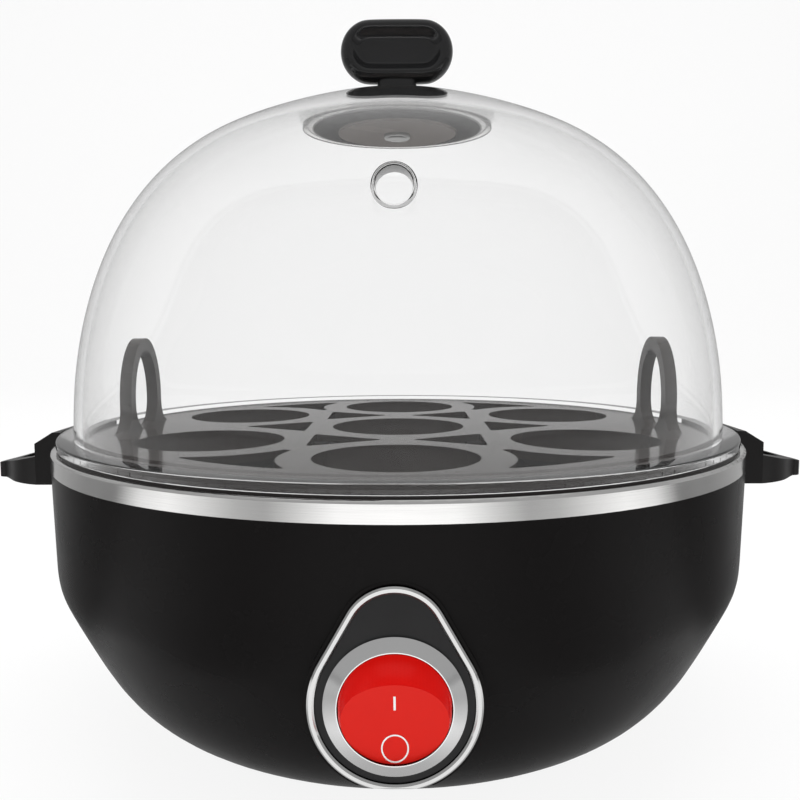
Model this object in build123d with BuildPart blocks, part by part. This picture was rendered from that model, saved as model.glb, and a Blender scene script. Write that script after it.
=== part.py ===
# Electric egg cooker for seven eggs: bowl base with a heated dish, lift-out tray, clear lid.
# Frame: origin on the axis of the bowl at the table, +Z up, front towards -Y, ears along X.
import os
from math import cos, radians, sin, sqrt

from build123d import *

os.makedirs("parts", exist_ok=True)

# Clearances
slip = 0.1
loose = 0.3
swing = 0.12

# Base bowl
base_r = 78.8
base_h = 56.7
foot_h = 3.5
bottom_inset = 25.7
bowl_wall = 2.8
rim_taper = 0.5
# Each station: inset from base_r, height above the underside
bowl_stations = [(17.7, 4.5), (10.6, 12.5), (6.2, 20.5), (2.3, 28.5), (rim_taper, 36.5)]

# Steel band round the rim
band_h = 3.7
band_t = 0.7
band_fold = 1.4

# Deck inside the rim
deck_rise = 4.0
deck_t = 2.0
ledge_depth = 2.3
ledge_w = 3.6
lip_w = 3.9
well_r = 50.6
well_depth = 12.0
well_flange = 4.9

# Heated dish
dish_lap = 4.2
dish_wall = 1.2
dish_depth = 6.0
dish_slope = 7.1
gasket_t = 0.8
stud_r = 1.5
stud_len = 6.6
nut_af = 5.5
nut_h = 2.4
stud_count = 3

# Heating element and sensors under the dish
coil_inset = 11.5
coil_tube_r = 3.2
coil_sweep = 300.0
pin_r = 1.3
pin_len = 9.0
stat_r = 8.0
stat_h = 6.0
stat_cap_h = 3.2
stat_blade_gap = 7.0
stat_blade_len = 8.0
strap_w = 9.0
strap_t = 1.0
strap_foot_x = 17.0
fuse_r = 2.0
fuse_len = 13.0
fuse_y = 17.0
lead_r = 1.1
lead_bend_r = 2.75
lead_drop = 11.6
block_inset_x = 32.1
block_inset_y = 23.1
block_w = 20.0
block_l = 10.0
block_h = 9.0
block_pitch = 6.4

# Bottom cover, feet and screws
cover_t = 2.4
cover_screw_inset = 10.3
screw_count = 4
lug_w = 9.0
lug_h = 6.0
lug_len = 5.0
foot_inset = 7.6
foot_r = 6.0
foot_stem_r = 1.8
foot_stem_in = 1.0
screw_r = 1.5
screw_head_r = 2.8
screw_head_h = 1.5
cover_slot_len = 28.0
cover_slot_w = 2.2
cover_slot_pitch = 5.0
cover_slot_count = 5

# Side ears
ear_out = 19.2
ear_root_out = 5.2
ear_half_w = 12.5
ear_under_rim = 6.8
ear_root_drop = 0.2
ear_tip_drop = 3.4
ear_tip_half_w = 2.2
collar_above_lip = 1.4
collar_drop = 2.6
ear_pocket_depth = 0.6
ear_screw_gap = 12.0
ear_screw_drop = 4.0
ear_screw_len = 9.0

# Teardrop chin on the front with its panel and trim
chin_inset = 0.2
chin_z = 31.7
chin_margin = 3.15
chin_taper = 5.3
chin_rise = 10.7
chin_cut_drop = 13.0
chin_wall = 2.2
chin_depth = 35.0
chin_edge = 0.55
trim_w = 1.15
trim_chamfer = 0.3
trim_proud = 1.0
panel_seat = 1.4
panel_t = 1.8

# Round rocker switch
switch_r = 10.1
switch_wall = 0.58
bezel_lap = 1.1
bezel_h = 1.4
bezel_edge = 0.4
bezel_lip = 0.15
switch_depth = 19.0
body_wall = 2.0
pivot_depth = 1.8
rocker_face = 5.1
rocker_back = 2.6
rocker_flat = 0.7
rocker_tilt = 18.5
rocker_dish_r = 46.0
pivot_pin_r = 1.2
plunger_r = 1.1
plunger_reach = 7.0
lever_gap = 7.6
lever_t = 0.5
lever_half_h = 5.5
lever_tilt = 8.0
lever_w = 4.0
lever_roll_r = 0.45
blade_w = 4.8
blade_t = 0.8
blade_len = 9.0
blade_gap = 7.0

# Cord gland at the back
gland_up = 18.5
gland_bore_r = 3.6
gland_barrel_r = 5.4
gland_flange_r = 7.6
gland_flange_t = 2.4
gland_sleeve_h = 4.6
gland_boss_r = 9.0
gland_wall = 2.4
gland_boss_inset = 3.4

# Egg tray
tray_gap = 1.0
tray_t = 1.6
tray_skirt_t = 1.6
tray_above_lip = 1.2
seat_edge = 9.65
seat_r = 15.95
seat_throat_r = 13.6
seat_depth = 6.5
seat_wall = 1.4
seat_count = 6
outer_slot_inset = 10.1
outer_slot_depth = 19.0
outer_slot_gap = 6.65
inner_slot_gap = 5.6
inner_slot_corner = 10.5
slot_round = 0.7
arch_inset = 9.3
arch_t = 2.8
arch_half_w = 11.4
arch_leg_w = 3.1
arch_h = 21.7
arch_leg_h = 7.0
arch_flare = 5.5
arch_root = 6.5

# Clear lid
lid_flange_inset = 1.1
lid_flange_t = 1.9
lid_wall = 1.7
lid_foot_inset = 4.7
lid_h = 79.9
# Each station: inset from lid_foot_r, height above the lid's underside
lid_stations = [
    (0.7, 13.9), (3.7, 29.9), (10.1, 46.1), (19.0, 58.4), (29.2, 66.6), (37.2, 70.6), (49.3, 75.1),
]
vent_above_foot = 48.7
vent_r = 3.1
vent_rim_r = 3.85
vent_inset = 9.1

# Lid knob and its fixing
knob_w = 26.3
knob_h = 15.2
knob_t = 10.0
knob_round = 2.6
knob_dish_w = 20.8
knob_dish_h = 10.4
knob_dish_depth = 1.8
knob_dish_lip = 0.5
neck_w = 9.9
neck_t = 6.0
neck_h = 1.7
knob_overlap = 0.6
knob_foot_w = 22.8
knob_foot_t = 7.0
knob_foot_h = 0.5
cap_r = 22.5
cap_ring_w = 2.3
cap_step_r = 15.6
cap_step_h = 0.6
cap_floor_r = 14.0
cap_floor_drop = 8.4
cap_ring_drop = 7.0
cap_t = 1.2
knob_screw_r = 1.7
knob_screw_head_r = 3.1
knob_screw_head_h = 1.3
knob_screw_len = 15.0

# Levels and radii that follow from the sizes above
bottom_r = base_r - bottom_inset
base_bottom_z = foot_h
cover_top_z = base_bottom_z + cover_t
rim_z = base_bottom_z + base_h
band_top_z = rim_z + band_h
lip_z = rim_z + deck_rise
deck_under_z = lip_z - deck_t
tray_z = lip_z + tray_above_lip
lid_z = lip_z + slip
band_in_r = base_r - band_t
wall_in_r = base_r - rim_taper - bowl_wall
lip_r = base_r - band_fold - slip
lip_in_r = lip_r - lip_w
ledge_z = lip_z - ledge_depth
well_z = lip_z - well_depth
well_out_r = well_r + well_flange
dish_r = well_r + dish_lap
dish_floor_r = well_r - dish_slope
stud_ring_r = (well_r + dish_r) / 2
coil_ring_r = dish_floor_r - coil_inset
gasket_z = well_z
dish_rim_z = well_z + gasket_t
dish_under_z = dish_rim_z - dish_depth
cover_r = bottom_r - bowl_wall - slip
cover_screw_ring_r = bottom_r - cover_screw_inset
lug_reach = cover_screw_ring_r - lug_len
foot_ring_r = bottom_r - foot_inset
block_x = block_inset_x - bottom_r
block_y = bottom_r - block_inset_y
bezel_r = switch_r + bezel_lap
chin_r = bezel_r + chin_margin
chin_top_r = chin_r - chin_taper
chin_cut_z = chin_z - chin_cut_drop
chin_face = base_r - chin_inset
chin_back = chin_face - panel_seat - chin_wall
seat_face = chin_face - panel_seat
panel_face = seat_face + panel_t
pivot_y = -(panel_face - pivot_depth)
rocker_r = switch_r - switch_wall - swing
rocker_half_w = rocker_r - rocker_flat
gland_z = base_bottom_z + gland_up
gland_boss_y = base_r - gland_boss_inset
gland_boss_depth = 2 * bowl_wall + gland_boss_r
ear_pad_x = wall_in_r - 1.4
ear_root_r = base_r + ear_root_out
ear_reach = base_r + ear_out
ear_bottom_z = rim_z - ear_under_rim
ear_root_top_z = rim_z - ear_root_drop
ear_tip_top_z = rim_z - ear_tip_drop
collar_top_z = lip_z + collar_above_lip
ear_screw_z = rim_z - ear_screw_drop
tray_r = lip_in_r - tray_gap
seat_ring_r = tray_r - seat_edge - seat_r
outer_slot_r = tray_r - outer_slot_inset
arch_x = tray_r - arch_inset
arch_top_z = tray_z + arch_h
arch_shoulder_z = tray_z + arch_leg_h
lid_flange_r = base_r - lid_flange_inset
lid_foot_r = base_r - lid_foot_inset
crown_z = lid_z + lid_h
vent_z = lid_z + vent_above_foot
vent_face = lid_foot_r - vent_inset
knob_z = crown_z + knob_foot_h + neck_h - knob_overlap + knob_h / 2
cap_floor_z = crown_z - cap_floor_drop
cap_ring_z = crown_z - cap_ring_drop


def bowl_curve(inset):
    """Stations of the bowl's side from its underside to the rim, moved in by the inset."""
    points = [(bottom_r - inset, base_bottom_z)]
    return points + [(base_r - off - inset, base_bottom_z + up) for off, up in bowl_stations]


def teardrop(low_r, top_r, cut_z):
    """Outline of the chin: a large round below, a small one above, cut level at the bottom."""
    with BuildSketch() as outline:
        with BuildLine():
            CenterArc((0, chin_z), low_r, 0, 360)
            CenterArc((0, chin_z + chin_rise), top_r, 0, 360)
        make_hull()
        with Locations((0, cut_z)):
            Rectangle(4 * chin_r, 4 * chin_r, align=(Align.CENTER, Align.MAX), mode=Mode.SUBTRACT)
    return outline.sketch


# Outer form of the bowl
with BuildPart() as bowl_envelope:
    with BuildSketch(Plane.XZ):
        with BuildLine():
            side = bowl_curve(0)
            Spline(*side, tangents=[(1, 0.45), (0.03, 1)])
            Polyline(side[-1], (base_r, rim_z), (0, rim_z), (0, base_bottom_z), side[0])
        make_face()
    revolve(axis=Axis.Z)

# Space inside the bowl's wall, less the drilled lugs that take the screws of the bottom cover
with BuildPart() as bowl_space:
    with BuildSketch(Plane.XZ):
        with BuildLine():
            side = bowl_curve(bowl_wall)
            Spline(*side, tangents=[(1, 0.6), (0.03, 1)])
            Polyline(side[-1], (wall_in_r, lip_z), (0, lip_z), (0, 0), (side[0][0], 0), side[0])
        make_face()
    revolve(axis=Axis.Z)
    with BuildSketch(Plane.XY.offset(cover_top_z)):
        with PolarLocations(lug_reach, screw_count):
            Rectangle(base_r, lug_w, align=(Align.MIN, Align.CENTER))
        with PolarLocations(cover_screw_ring_r, screw_count):
            Circle(screw_r, mode=Mode.SUBTRACT)
    extrude(amount=lug_h, mode=Mode.SUBTRACT)

# Base housing: bowl, chin, cord boss, rim step and pads for the ear screws
with BuildPart() as base_housing:
    add(bowl_envelope.part)
    with BuildSketch(Plane.XY.offset(rim_z)):
        Circle(band_in_r - slip)
    extrude(amount=deck_under_z - slip - rim_z)
    with BuildSketch(Plane.XZ.offset(chin_face)):
        add(teardrop(chin_r, chin_top_r, chin_cut_z))
    extrude(amount=-chin_depth)
    with BuildSketch(Plane.XZ.offset(-gland_boss_y)):
        with Locations((0, gland_z)):
            Circle(gland_boss_r)
    extrude(amount=gland_boss_depth)
    add(bowl_space.part, mode=Mode.SUBTRACT)
    # Hollow of the chin behind its front wall
    with BuildSketch(Plane.XZ.offset(chin_back)):
        add(teardrop(chin_r - chin_wall, chin_top_r - chin_wall, chin_cut_z + chin_wall))
    extrude(amount=-chin_depth, mode=Mode.SUBTRACT)
    # Seat of the panel and its trim, open at the level cut, and the hole for the switch
    with BuildSketch(Plane.XZ.offset(chin_face)):
        add(teardrop(chin_r - chin_edge, chin_top_r - chin_edge, chin_cut_z - 1))
    extrude(amount=-panel_seat, mode=Mode.SUBTRACT)
    with BuildSketch(Plane.XZ.offset(chin_face)):
        with Locations((0, chin_z)):
            Circle(switch_r + slip)
    extrude(amount=-chin_depth / 2, mode=Mode.SUBTRACT)
    # Cord hole with the hollow of its boss
    with BuildSketch(Plane.XZ.offset(-gland_boss_y)):
        with Locations((0, gland_z)):
            Circle(gland_barrel_r + slip)
    extrude(amount=gland_boss_depth, mode=Mode.SUBTRACT)
    with BuildSketch(Plane.XZ.offset(gland_wall - gland_boss_y)):
        with Locations((0, gland_z)):
            Circle(gland_boss_r - chin_wall)
    extrude(amount=gland_boss_depth, mode=Mode.SUBTRACT)
    # Flat pads behind the ears, drilled for their screws
    for facing in (1, -1):
        with BuildSketch(Plane.YZ.offset(facing * ear_pad_x)):
            with Locations((-ear_screw_gap / 2, ear_screw_z), (ear_screw_gap / 2, ear_screw_z)):
                Circle(screw_head_r + slip)
        extrude(amount=facing * (base_r - bowl_wall / 2 - ear_pad_x))
        with BuildSketch(Plane.YZ.offset(facing * ear_pad_x)):
            with Locations((-ear_screw_gap / 2, ear_screw_z), (ear_screw_gap / 2, ear_screw_z)):
                Circle(screw_r + slip)
        extrude(amount=facing * base_r / 4, mode=Mode.SUBTRACT)
base_housing.part.label = "base_housing"
export_step(base_housing.part, "parts/base_housing.step")

# Bottom cover with screw holes, holes for the feet and cooling slots
with BuildPart() as bottom_cover:
    with BuildSketch(Plane.XY.offset(base_bottom_z)):
        Circle(cover_r)
        with PolarLocations(cover_screw_ring_r, screw_count):
            Circle(screw_r + slip, mode=Mode.SUBTRACT)
        with PolarLocations(foot_ring_r - foot_stem_in, screw_count, start_angle=45):
            Circle(foot_stem_r, mode=Mode.SUBTRACT)
        with GridLocations(0, cover_slot_pitch, 1, cover_slot_count):
            SlotOverall(cover_slot_len, cover_slot_w, mode=Mode.SUBTRACT)
    extrude(amount=cover_t)
    with BuildSketch(Plane.XY.offset(base_bottom_z)):
        with PolarLocations(cover_screw_ring_r, screw_count):
            Circle(screw_head_r + slip)
    extrude(amount=screw_head_h / 2, mode=Mode.SUBTRACT)
bottom_cover.part.label = "bottom_cover"
export_step(bottom_cover.part, "parts/bottom_cover.step")

# Four feet, each with a stem in the cover
with BuildPart() as feet:
    with BuildSketch():
        with PolarLocations(foot_ring_r, screw_count, start_angle=45):
            Circle(foot_r)
    extrude(amount=foot_h)
    chamfer(feet.faces().group_by(Axis.Z)[0].edges(), 0.5)
    with BuildSketch(Plane.XY.offset(foot_h)):
        with PolarLocations(foot_ring_r - foot_stem_in, screw_count, start_angle=45):
            Circle(foot_stem_r)
    extrude(amount=cover_t)
feet.part.label = "feet"
export_step(feet.part, "parts/feet.step")

# Screws of the bottom cover
with BuildPart() as cover_screws:
    with BuildSketch(Plane.XY.offset(base_bottom_z - screw_head_h / 2)):
        with PolarLocations(cover_screw_ring_r, screw_count):
            Circle(screw_head_r)
    extrude(amount=screw_head_h)
    with BuildSketch(Plane.XY.offset(base_bottom_z + screw_head_h / 2)):
        with PolarLocations(cover_screw_ring_r, screw_count):
            Circle(screw_r)
    extrude(amount=cover_t - screw_head_h / 2 + lug_h - 1)
cover_screws.part.label = "cover_screws"
export_step(cover_screws.part, "parts/cover_screws.step")

# Steel band with its folded top edge
with BuildPart() as trim_band:
    with BuildSketch(Plane.XZ) as band_section:
        with BuildLine():
            Polyline(
                (base_r, rim_z),
                (base_r, band_top_z),
                (base_r - band_fold, band_top_z),
                (base_r - band_fold, band_top_z - band_t),
                (band_in_r, band_top_z - band_t),
                (band_in_r, rim_z),
                (base_r, rim_z),
            )
        make_face()
        fillet(band_section.vertices().group_by(Axis.Z)[-1].sort_by(Axis.X)[-1], band_t * 0.8)
    revolve(axis=Axis.Z)
trim_band.part.label = "trim_band"
export_step(trim_band.part, "parts/trim_band.step")

# Deck inside the rim: lip for the lid, ledge for the tray, cone down to the heated well
with BuildPart() as top_deck:
    with BuildSketch(Plane.XZ):
        with BuildLine():
            Polyline(
                (wall_in_r - slip, ledge_z - deck_t),
                (wall_in_r - slip, deck_under_z),
                (band_in_r - slip, deck_under_z),
                (band_in_r - slip, band_top_z - band_t - slip),
                (lip_r, band_top_z - band_t - slip),
                (lip_r, lip_z),
                (lip_in_r, lip_z),
                (lip_in_r, ledge_z),
                (lip_in_r - ledge_w, ledge_z),
                (well_out_r, well_z),
                (well_r, well_z),
                (well_r, well_z - deck_t),
                (well_out_r - deck_t / 3, well_z - deck_t),
                (lip_in_r - ledge_w, ledge_z - deck_t),
                (wall_in_r - slip, ledge_z - deck_t),
            )
        make_face()
    revolve(axis=Axis.Z)
    with BuildSketch(Plane.XY.offset(well_z - deck_t)):
        with PolarLocations(stud_ring_r, stud_count, start_angle=30):
            Circle(stud_r + slip)
    extrude(amount=deck_t, mode=Mode.SUBTRACT)
top_deck.part.label = "top_deck"
export_step(top_deck.part, "parts/top_deck.step")

# Seal under the rim of the heated dish
with BuildPart() as dish_gasket:
    with BuildSketch(Plane.XY.offset(gasket_z)):
        Circle(dish_r)
        Circle(well_r + slip, mode=Mode.SUBTRACT)
        with PolarLocations(stud_ring_r, stud_count, start_angle=30):
            Circle(stud_r + slip, mode=Mode.SUBTRACT)
    extrude(amount=gasket_t)
dish_gasket.part.label = "dish_gasket"
export_step(dish_gasket.part, "parts/dish_gasket.step")

# Heated dish that holds the water, with the studs that clamp it to the deck
with BuildPart() as heating_dish:
    with BuildSketch(Plane.XZ) as dish_section:
        with BuildLine():
            Polyline(
                (dish_r, dish_rim_z),
                (dish_r, dish_rim_z + dish_wall),
                (well_r - loose - dish_wall, dish_rim_z + dish_wall),
                (dish_floor_r, dish_under_z + dish_wall),
                (0, dish_under_z + dish_wall),
                (0, dish_under_z),
                (dish_floor_r + dish_wall / 2, dish_under_z),
                (well_r - loose, dish_rim_z),
                (dish_r, dish_rim_z),
            )
        make_face()
    revolve(axis=Axis.Z)
    with BuildSketch(Plane.XY.offset(dish_rim_z - stud_len)):
        with PolarLocations(stud_ring_r, stud_count, start_angle=30):
            Circle(stud_r)
    extrude(amount=stud_len)
heating_dish.part.label = "heating_dish"
export_step(heating_dish.part, "parts/heating_dish.step")

# Nuts on the studs
with BuildPart() as dish_nuts:
    with BuildSketch(Plane.XY.offset(well_z - deck_t - nut_h)):
        with PolarLocations(stud_ring_r, stud_count, start_angle=30):
            RegularPolygon(nut_af / 2, 6, major_radius=False)
            Circle(stud_r, mode=Mode.SUBTRACT)
    extrude(amount=nut_h)
dish_nuts.part.label = "dish_nuts"
export_step(dish_nuts.part, "parts/dish_nuts.step")

# Tubular heating element under the dish, open at the back, with its two cold pins
coil_z = dish_under_z - coil_tube_r
coil_start = 90 + (360 - coil_sweep) / 2
coil_ends = (coil_start, 180 - coil_start)
coil_pin = [(coil_ring_r * cos(radians(a)), coil_ring_r * sin(radians(a))) for a in coil_ends]
with BuildPart() as heating_coil:
    start = Plane(
        origin=(0, 0, 0),
        x_dir=(cos(radians(coil_start)), sin(radians(coil_start)), 0),
        z_dir=(sin(radians(coil_start)), -cos(radians(coil_start)), 0),
    )
    with BuildSketch(start):
        with Locations((coil_ring_r, coil_z)):
            Circle(coil_tube_r)
    revolve(axis=Axis.Z, revolution_arc=coil_sweep)
    with BuildSketch(Plane.XY.offset(coil_z - coil_tube_r - pin_len)):
        with Locations(*coil_pin):
            Circle(pin_r)
    extrude(amount=pin_len + coil_tube_r)
heating_coil.part.label = "heating_coil"
export_step(heating_coil.part, "parts/heating_coil.step")

# Thermostat pressed against the middle of the dish
stat_z = dish_under_z - stat_h
with BuildPart() as thermostat:
    with BuildSketch(Plane.XY.offset(stat_z)):
        Circle(stat_r - 0.6)
    extrude(amount=stat_h)
    with BuildSketch(Plane.XY.offset(stat_z + stat_h - stat_cap_h)):
        Circle(stat_r)
    extrude(amount=stat_cap_h)
    with BuildSketch(Plane.XY.offset(stat_z - stat_blade_len)):
        with GridLocations(stat_blade_gap, 0, 2, 1):
            Rectangle(blade_t, blade_w)
    extrude(amount=stat_blade_len)
thermostat.part.label = "thermostat"
export_step(thermostat.part, "parts/thermostat.step")

# Strap that holds the thermostat, welded to the dish at both ends
with BuildPart() as thermostat_strap:
    with BuildSketch(Plane.XZ.offset(-strap_w / 2)):
        with BuildLine():
            strap_line = Polyline(
                (-strap_foot_x - 3, dish_under_z - strap_t / 2),
                (-strap_foot_x + 3, dish_under_z - strap_t / 2),
                (-stat_r - 1, stat_z - strap_t / 2),
                (stat_r + 1, stat_z - strap_t / 2),
                (strap_foot_x - 3, dish_under_z - strap_t / 2),
                (strap_foot_x + 3, dish_under_z - strap_t / 2),
            )
        trace(line_width=strap_t)
    extrude(amount=strap_w)
    with BuildSketch(Plane.XY.offset(stat_z - strap_t)):
        SlotOverall(stat_blade_gap + 4, strap_w - 3)
    extrude(amount=strap_t, mode=Mode.SUBTRACT)
thermostat_strap.part.label = "thermostat_strap"
export_step(thermostat_strap.part, "parts/thermostat_strap.step")

# Thermal fuse lying against the dish beside the thermostat
with BuildPart() as thermal_fuse:
    with BuildSketch(Plane.YZ.offset(-fuse_len / 2)):
        with Locations((fuse_y, dish_under_z - fuse_r)):
            Circle(fuse_r)
    extrude(amount=fuse_len)
    fillet(thermal_fuse.edges().filter_by(GeomType.CIRCLE), fuse_r / 3)
thermal_fuse.part.label = "thermal_fuse"
export_step(thermal_fuse.part, "parts/thermal_fuse.step")

# Terminal block on the bottom cover
with BuildPart() as terminal_block:
    with BuildSketch(Plane.XY.offset(cover_top_z)):
        with Locations((block_x, block_y)):
            RectangleRounded(block_w, block_l, 1.2)
    extrude(amount=block_h)
    with BuildSketch(Plane.XZ.offset(-block_y)):
        with Locations((block_x, cover_top_z + block_h / 2)):
            with GridLocations(block_pitch, 0, 3, 1):
                Circle(lead_r + slip)
    extrude(amount=block_l, both=True, mode=Mode.SUBTRACT)
    with BuildSketch(Plane.XY.offset(cover_top_z + block_h)):
        with Locations((block_x, block_y)):
            with GridLocations(block_pitch, 0, 3, 1):
                Circle(screw_r)
    extrude(amount=-1.5, mode=Mode.SUBTRACT)
terminal_block.part.label = "terminal_block"
export_step(terminal_block.part, "parts/terminal_block.step")

# Cord gland: sleeve and flange outside, waist in the wall, flange inside
gland_end_y = gland_boss_y + gland_flange_t + gland_sleeve_h
with BuildPart() as cord_gland:
    for face_y, radius, length in (
        (gland_end_y, gland_barrel_r, gland_sleeve_h),
        (gland_boss_y + gland_flange_t, gland_flange_r, gland_flange_t),
        (gland_boss_y, gland_barrel_r, gland_wall),
        (gland_boss_y - gland_wall, gland_boss_r - chin_wall - loose, gland_flange_t),
    ):
        with BuildSketch(Plane.XZ.offset(-face_y)):
            with Locations((0, gland_z)):
                Circle(radius)
        extrude(amount=length)
    fillet(cord_gland.faces().sort_by(Axis.Y)[-1].edges(), 0.8)
    with BuildSketch(Plane.XZ.offset(-gland_end_y)):
        with Locations((0, gland_z)):
            Circle(gland_bore_r)
    extrude(amount=gland_sleeve_h + 2 * gland_flange_t + gland_wall, mode=Mode.SUBTRACT)
cord_gland.part.label = "cord_gland"
export_step(cord_gland.part, "parts/cord_gland.step")

# Side ear: collar block behind the band with a pointed plate and a shallow finger rest
ear_top = Plane(
    origin=(ear_root_r, 0, ear_root_top_z),
    x_dir=(ear_reach - ear_root_r, 0, ear_tip_top_z - ear_root_top_z),
    z_dir=(ear_root_top_z - ear_tip_top_z, 0, ear_reach - ear_root_r),
)
with BuildPart() as ear:
    with BuildSketch(Plane.XY.offset(ear_bottom_z)) as ear_plan:
        with BuildLine():
            ear_side = Spline(
                (ear_root_r, ear_half_w),
                ((ear_root_r + ear_reach) / 2 + 0.5, ear_half_w * 0.6),
                (ear_reach - ear_tip_half_w, ear_tip_half_w),
                tangents=[(1, -0.35), (0.9, -0.9)],
            )
            ThreePointArc(ear_side @ 1, (ear_reach, 0), ((ear_side @ 1).X, -ear_tip_half_w))
            mirror(ear_side, about=Plane.XZ)
            Polyline(
                (ear_root_r, -ear_half_w),
                (wall_in_r, -ear_half_w),
                (wall_in_r, ear_half_w),
                (ear_root_r, ear_half_w),
            )
        make_face()
    extrude(amount=collar_top_z - ear_bottom_z)
    with BuildSketch(Plane.XZ) as ear_profile:
        with BuildLine():
            Polyline(
                (wall_in_r, ear_bottom_z),
                (wall_in_r, collar_top_z),
                (base_r + 1, collar_top_z),
                (ear_root_r, collar_top_z - collar_drop),
                (ear_root_r, ear_root_top_z),
                (ear_reach, ear_tip_top_z),
                (ear_reach, ear_bottom_z),
                (wall_in_r, ear_bottom_z),
            )
        make_face()
    extrude(amount=2 * ear_half_w, both=True, mode=Mode.INTERSECT)
    with BuildSketch(Plane.XY.offset(ear_bottom_z)):
        Circle(base_r + slip)
    extrude(amount=collar_top_z, mode=Mode.SUBTRACT)
    with BuildSketch(ear_top):
        with BuildLine():
            Polyline((2.2, ear_half_w - 4.2), (8.2, 2.6), (8.2, -2.6), (2.2, 4.2 - ear_half_w), close=True)
        make_face()
    extrude(amount=-ear_pocket_depth, mode=Mode.SUBTRACT)
    with BuildSketch(Plane.YZ.offset(base_r / 2)):
        with Locations((-ear_screw_gap / 2, ear_screw_z), (ear_screw_gap / 2, ear_screw_z)):
            Circle(screw_r)
    extrude(amount=ear_pad_x + ear_screw_len - base_r / 2, mode=Mode.SUBTRACT)

right_ear = ear.part
right_ear.label = "right_ear"
export_step(right_ear, "parts/right_ear.step")
left_ear = mirror(ear.part, about=Plane.YZ)
left_ear.label = "left_ear"
export_step(left_ear, "parts/left_ear.step")

# Screws of the ears, put in from inside the bowl
with BuildPart() as ear_screws:
    for facing in (1, -1):
        for start_x, radius, length in (
            (ear_pad_x - screw_head_h, screw_head_r, screw_head_h),
            (ear_pad_x, screw_r, ear_screw_len),
        ):
            with BuildSketch(Plane.YZ.offset(facing * start_x)):
                with Locations((-ear_screw_gap / 2, ear_screw_z), (ear_screw_gap / 2, ear_screw_z)):
                    Circle(radius)
            extrude(amount=facing * length)
ear_screws.part.label = "ear_screws"
export_step(ear_screws.part, "parts/ear_screws.step")

# Teardrop panel behind the switch
panel_inset = chin_edge + slip + trim_w + slip
with BuildPart() as switch_panel:
    with BuildSketch(Plane.XZ.offset(seat_face)):
        add(teardrop(chin_r - panel_inset, chin_top_r - panel_inset, chin_cut_z))
        with Locations((0, chin_z)):
            Circle(switch_r + slip, mode=Mode.SUBTRACT)
    extrude(amount=panel_t)
switch_panel.part.label = "switch_panel"
export_step(switch_panel.part, "parts/switch_panel.step")

# Steel trim round the panel: a bevelled loop cut level at the bottom
trim_out_r = chin_r - chin_edge - slip
trim_top_r = chin_top_r - chin_edge - slip
with BuildPart() as panel_trim:
    with BuildSketch(Plane.XZ.offset(seat_face)):
        add(teardrop(trim_out_r, trim_top_r, 0))
        add(teardrop(trim_out_r - trim_w, trim_top_r - trim_w, 0), mode=Mode.SUBTRACT)
    extrude(amount=panel_seat + trim_proud)
    chamfer(panel_trim.faces().sort_by(Axis.Y)[0].edges(), trim_chamfer)
    with BuildSketch(Plane.XZ.offset(seat_face)):
        with Locations((0, chin_cut_z)):
            Rectangle(4 * chin_r, 4 * chin_r, align=(Align.CENTER, Align.MAX))
    extrude(amount=2 * (panel_seat + trim_proud), mode=Mode.SUBTRACT)
panel_trim.part.label = "panel_trim"
export_step(panel_trim.part, "parts/panel_trim.step")

# Bezel: bright ring that rises from the panel to a lip close round the ball of the rocker
switch_axis = Axis((0, 0, chin_z), (0, 1, 0))
ball_space_r = rocker_r + swing
bezel_mouth_r = sqrt(ball_space_r**2 - (pivot_depth + bezel_h) ** 2)
with BuildPart() as switch_bezel:
    with BuildSketch(Plane.YZ):
        with BuildLine():
            Polyline(
                (-panel_face, chin_z + rocker_r / 2),
                (-panel_face, chin_z + bezel_r),
                (-panel_face - bezel_edge, chin_z + bezel_r),
                (-panel_face - bezel_h, chin_z + bezel_mouth_r + bezel_lip),
                (-panel_face - bezel_h, chin_z + rocker_r / 2),
                (-panel_face, chin_z + rocker_r / 2),
            )
        make_face()
    revolve(axis=switch_axis)
    with Locations((0, pivot_y, chin_z)):
        Sphere(ball_space_r, rotation=(90, 0, 0), mode=Mode.SUBTRACT)
switch_bezel.part.label = "switch_bezel"
export_step(switch_bezel.part, "parts/switch_bezel.step")

# Switch body with its rocker well, pin holes, contact chamber and blade slots
lever_y = pivot_y + lever_gap
well_back = pivot_y + rocker_face + 1
body_back = switch_depth - panel_face
contact_z = chin_z - lever_half_h
with BuildPart() as switch_body:
    with BuildSketch(Plane.XZ.offset(panel_face)):
        with Locations((0, chin_z)):
            Circle(switch_r)
    extrude(amount=-switch_depth)
    with BuildSketch(Plane.XZ.offset(panel_face)):
        with Locations((0, chin_z)):
            Circle(ball_space_r)
    extrude(amount=-(well_back + panel_face), mode=Mode.SUBTRACT)
    with BuildSketch(Plane.XZ.offset(-well_back)):
        with Locations((0, chin_z)):
            Rectangle(blade_w + 2 * loose, 2 * (lever_half_h + 2.5))
    extrude(amount=-(body_back - well_back - body_wall), mode=Mode.SUBTRACT)
    with BuildSketch(Plane.YZ):
        with Locations((pivot_y, chin_z)):
            Circle(pivot_pin_r + slip)
    extrude(amount=switch_r + 1, both=True, mode=Mode.SUBTRACT)
    with BuildSketch(Plane.XZ.offset(-body_back)):
        with Locations((0, chin_z), (0, chin_z - blade_gap)):
            Rectangle(blade_w, blade_t)
    extrude(amount=body_wall, mode=Mode.SUBTRACT)
switch_body.part.label = "switch_body"
export_step(switch_body.part, "parts/switch_body.step")

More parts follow.
